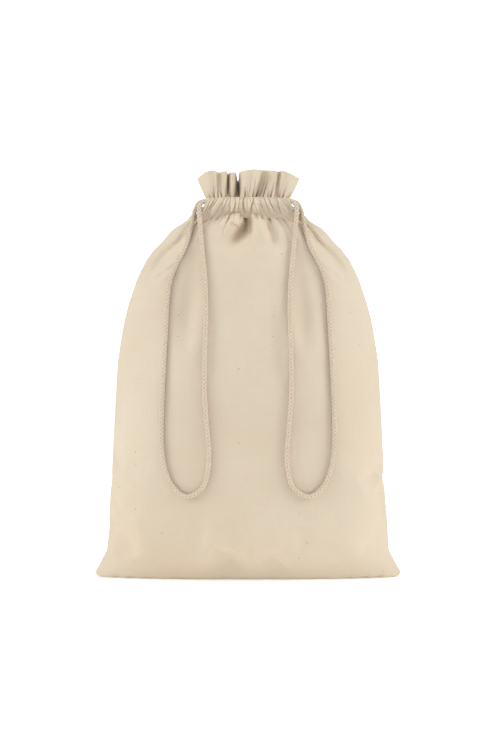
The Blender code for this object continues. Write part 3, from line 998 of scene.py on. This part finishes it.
def stitch_row(name, places):
    """Short rounded stitches along a line of points on the cloth."""
    line = smooth_curve(places, len(places))
    travelled = travelled_along(line)
    whole = bmesh.new()
    start = 0.0
    while start + STITCH_LENGTH < travelled[-1]:
        ends = []
        for at in (start, start + STITCH_LENGTH):
            ends.append(np.array([np.interp(at, travelled, column) for column in line.T]))
        turn = Vector(ends[1] - ends[0]).to_track_quat("Z", "Y").to_matrix().to_4x4()
        middle = Matrix.Translation(Vector((ends[0] + ends[1]) / 2))
        size = Matrix.Diagonal((STITCH_RADIUS, STITCH_RADIUS, STITCH_LENGTH * 0.55, 1))
        bmesh.ops.create_icosphere(whole, subdivisions=1, radius=1.0, matrix=middle @ turn @ size)
        start += STITCH_LENGTH + STITCH_GAP
    mesh = bpy.data.meshes.new(name)
    whole.to_mesh(mesh)
    whole.free()
    mesh.shade_smooth()
    return placed(name, mesh)


def casing_line(side, rise, cloth):
    """Points on the outside of the casing along one of its rows of stitches."""
    s = np.linspace(-0.97, 0.97, 161)
    x, y, z = casing_outside(s, np.full(s.shape, rise), side, cloth)
    return np.column_stack([x, side * (y + STITCH_PROUD), z])


def seam_lines(pouch):
    """The lines of points where the panels are sewn together: left side, right side and bottom."""
    cut = read_points(pouch.data, "cut")
    places = read_points(pouch.data)
    lines = {}
    for name, at in (("left", -PANEL_HALF_WIDTH), ("right", PANEL_HALF_WIDTH)):
        chosen = np.nonzero((np.abs(cut[:, 0] - at) < 1e-4) & (cut[:, 2] > 0.02) & (cut[:, 2] < 0.375))[0]
        lines[name] = places[chosen[np.argsort(cut[chosen, 2])]]
    foot = np.nonzero((cut[:, 2] < 1e-5) & (np.abs(cut[:, 0]) < 0.130))[0]
    lines["bottom"] = places[foot[np.argsort(cut[foot, 0])]]
    return lines


def side_allowance(name, line, side):
    """The overlocked edge that stands inside the pouch along one side seam."""
    inward = Vector((-side, 0, 0))
    rows = [[tuple(Vector(place) + inward * reach) for reach in SIDE_SEAM_REACH] for place in line]
    return thicken(grid_mesh(name, rows), SEAM_THICKNESS, offset=0.0)


def bottom_allowance(name, line):
    """The overlocked edge that lies inside the pouch along the bottom seam."""
    rows = []
    for place in line:
        rows.append([tuple(Vector(place) + Vector((0, dy, BOTTOM_SEAM_LIFT))) for dy in BOTTOM_SEAM_REACH])
    return thicken(grid_mesh(name, rows), SEAM_THICKNESS, offset=0.0)


# ---------------------------------------------------------------- stage

# The sheet: its front edge, its half width, where the wall stands, the radius it curves up with, and its top
SHEET_FRONT = -0.95
SHEET_HALF_WIDTH = 0.9
WALL = 4.4
TURN = 1.0
SHEET_TOP = 5.0

# The camera: its distance, its angle above the floor, the point it looks at and the height it sees there
CAMERA_DISTANCE = 2.6
CAMERA_ELEVATION = math.radians(2.5)
CAMERA_TARGET = (0.0020, 0.0, 0.1990)
CAMERA_VIEW_HEIGHT = 0.7384
SENSOR_WIDTH = 36.0

# Lamps: (name, place, target, size, power, colour)
MIDDLE = (0, 0, 0.20)
WARM = (1.0, 0.955, 0.90)
LAMPS = [
    ("left", (-1.88, -0.60, 1.0), MIDDLE, (0.9, 1.2), 18.4, WARM),
    ("right", (1.88, -0.60, 1.0), MIDDLE, (0.9, 1.2), 21.6, WARM),
    ("top", (0.0, -0.6, 1.9), MIDDLE, (1.2, 1.2), 6.5, WARM),
    ("neck", (-0.50, -0.50, 0.95), (0, 0, 0.36), (0.60, 0.60), 0.75, WHITE),
]
WORLD_COLOUR = (0.88, 0.99, 1.15, 1.0)
WORLD_STRENGTH = 0.46


def stage(material):
    """A white sheet that curves up from the floor into the wall behind."""
    profile = [(SHEET_FRONT, 0.0), (WALL - TURN, 0.0)]
    for angle in np.linspace(0.1, math.pi / 2, 14):
        profile.append((WALL - TURN + TURN * math.sin(angle), TURN - TURN * math.cos(angle)))
    profile.append((WALL, SHEET_TOP))
    rows = [[(x, y, z) for x in (-SHEET_HALF_WIDTH, SHEET_HALF_WIDTH)] for y, z in profile]
    floor = grid_mesh("floor", rows)
    floor.data.shade_smooth()
    look(floor, material)


def aim(thing, target):
    """Turns a lamp or camera towards a point."""
    thing.rotation_euler = (Vector(target) - thing.location).to_track_quat("-Z", "Y").to_euler()


def area_light(name, place, target, size, power, colour):
    """A rectangular lamp at a place, aimed at a target."""
    lamp = bpy.data.lights.new(name, "AREA")
    lamp.shape = "RECTANGLE"
    lamp.size, lamp.size_y = size
    lamp.energy = power
    lamp.color = colour
    made = placed(name, lamp)
    made.location = place
    aim(made, target)


def camera():
    """A long lens, seen from the front and a little above."""
    lens = bpy.data.cameras.new("camera")
    lens.sensor_width = SENSOR_WIDTH
    lens.lens = SENSOR_WIDTH * CAMERA_DISTANCE / CAMERA_VIEW_HEIGHT
    lens.dof.use_dof = False
    made = placed("camera", lens)
    away = Vector((0, -math.cos(CAMERA_ELEVATION), math.sin(CAMERA_ELEVATION)))
    made.location = Vector(CAMERA_TARGET) + CAMERA_DISTANCE * away
    aim(made, CAMERA_TARGET)
    bpy.context.scene.camera = made


def lighting():
    """Two large side lamps, a top lamp, a weak one for the neck, and a cool even world."""
    scene = bpy.context.scene
    scene.view_settings.view_transform = "Standard"
    world = bpy.data.worlds.new("studio")
    world.use_nodes = True
    background = world.node_tree.nodes["Background"]
    background.inputs["Color"].default_value = WORLD_COLOUR
    background.inputs["Strength"].default_value = WORLD_STRENGTH
    scene.world = world
    for lamp in LAMPS:
        area_light(*lamp)


# ---------------------------------------------------------------- assembly


def look(piece, material):
    """Gives a piece its one material."""
    piece.data.materials.clear()
    piece.data.materials.append(material)


def add_face(face, side, hem, pouch, cloth, looks):
    """The front or the back: panel, casing, frill and the casing's two rows of stitches."""
    panel = split_panel(pouch, side, f"{face}_panel_cloth")
    look(panel, looks["calico"])
    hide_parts(f"{face}_panel")
    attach(panel, "pouch")

    tunnel = casing_cloth(f"{face}_casing_cloth", side, cloth)
    look(tunnel, looks["calico"])
    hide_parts(f"{face}_casing")
    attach(tunnel, "pouch")

    frill = frill_cloth(f"{face}_frill_cloth", side, hem)
    look(frill, looks["calico"])
    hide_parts(f"{face}_ruffle")
    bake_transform(frill)

    for row, rise in STITCH_ROWS:
        thread = stitch_row(f"{face}_{row}_thread", casing_line(side, rise, cloth))
        look(thread, looks["thread"])
        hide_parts(f"{face}_{row}_stitching")
        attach(thread, "pouch")


def add_cord(name, side, cloth, material):
    """One closed cord: its legs and hanging loop, and the part round the far end of the neck."""
    route = to_metres(BACK_EXIT) + laid_route(LOOP_ROUTE, cloth, side)[::5] + to_metres(FRONT_EXIT)
    cord, line = braided_cord(f"{name}_cord", flipped(route, side))
    look(cord, material)
    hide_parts(f"{name}_cord_front_leg", f"{name}_cord_back_leg", f"{name}_cord_loop")
    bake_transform(cord)

    far, _ = braided_cord(f"{name}_cord_far_end", flipped(to_metres(RETURN_ROUTE), side))
    look(far, material)
    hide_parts(f"{name}_cord_return", f"{name}_cord_tail", f"{name}_cord_join")
    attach(far, "pouch")


def add_side_seam(name, side, line, material):
    """The allowance of one side seam."""
    allowance = side_allowance(f"{name}_seam_allowance", line, side)
    look(allowance, material)
    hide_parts(f"{name}_side_seam")
    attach(allowance, "pouch")


def add_bottom_seam(line, material):
    """The allowance of the bottom seam."""
    allowance = bottom_allowance("bottom_seam_allowance", line)
    look(allowance, material)
    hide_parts("bottom_seam")
    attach(allowance, "pouch")


def main():
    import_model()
    camera()
    lighting()
    looks = {"calico": calico("calico"), "cord": cord_cotton("cord"), "thread": thread_cotton("thread")}
    stage(floor_white("floor_white"))

    pouch = shaped_pouch()
    cloth = BVHTree.FromObject(pouch, bpy.context.evaluated_depsgraph_get())
    lines = seam_lines(pouch)
    for face, side, hem in (("front", -1, FRONT_HEM), ("back", 1, BACK_HEM)):
        add_face(face, side, hem, pouch, cloth, looks)
    for name, side in (("left", -1), ("right", 1)):
        add_cord(name, side, cloth, looks["cord"])
        add_side_seam(name, side, lines[name], looks["calico"])
    add_bottom_seam(lines["bottom"], looks["calico"])

    bpy.data.objects.remove(pouch)


main()
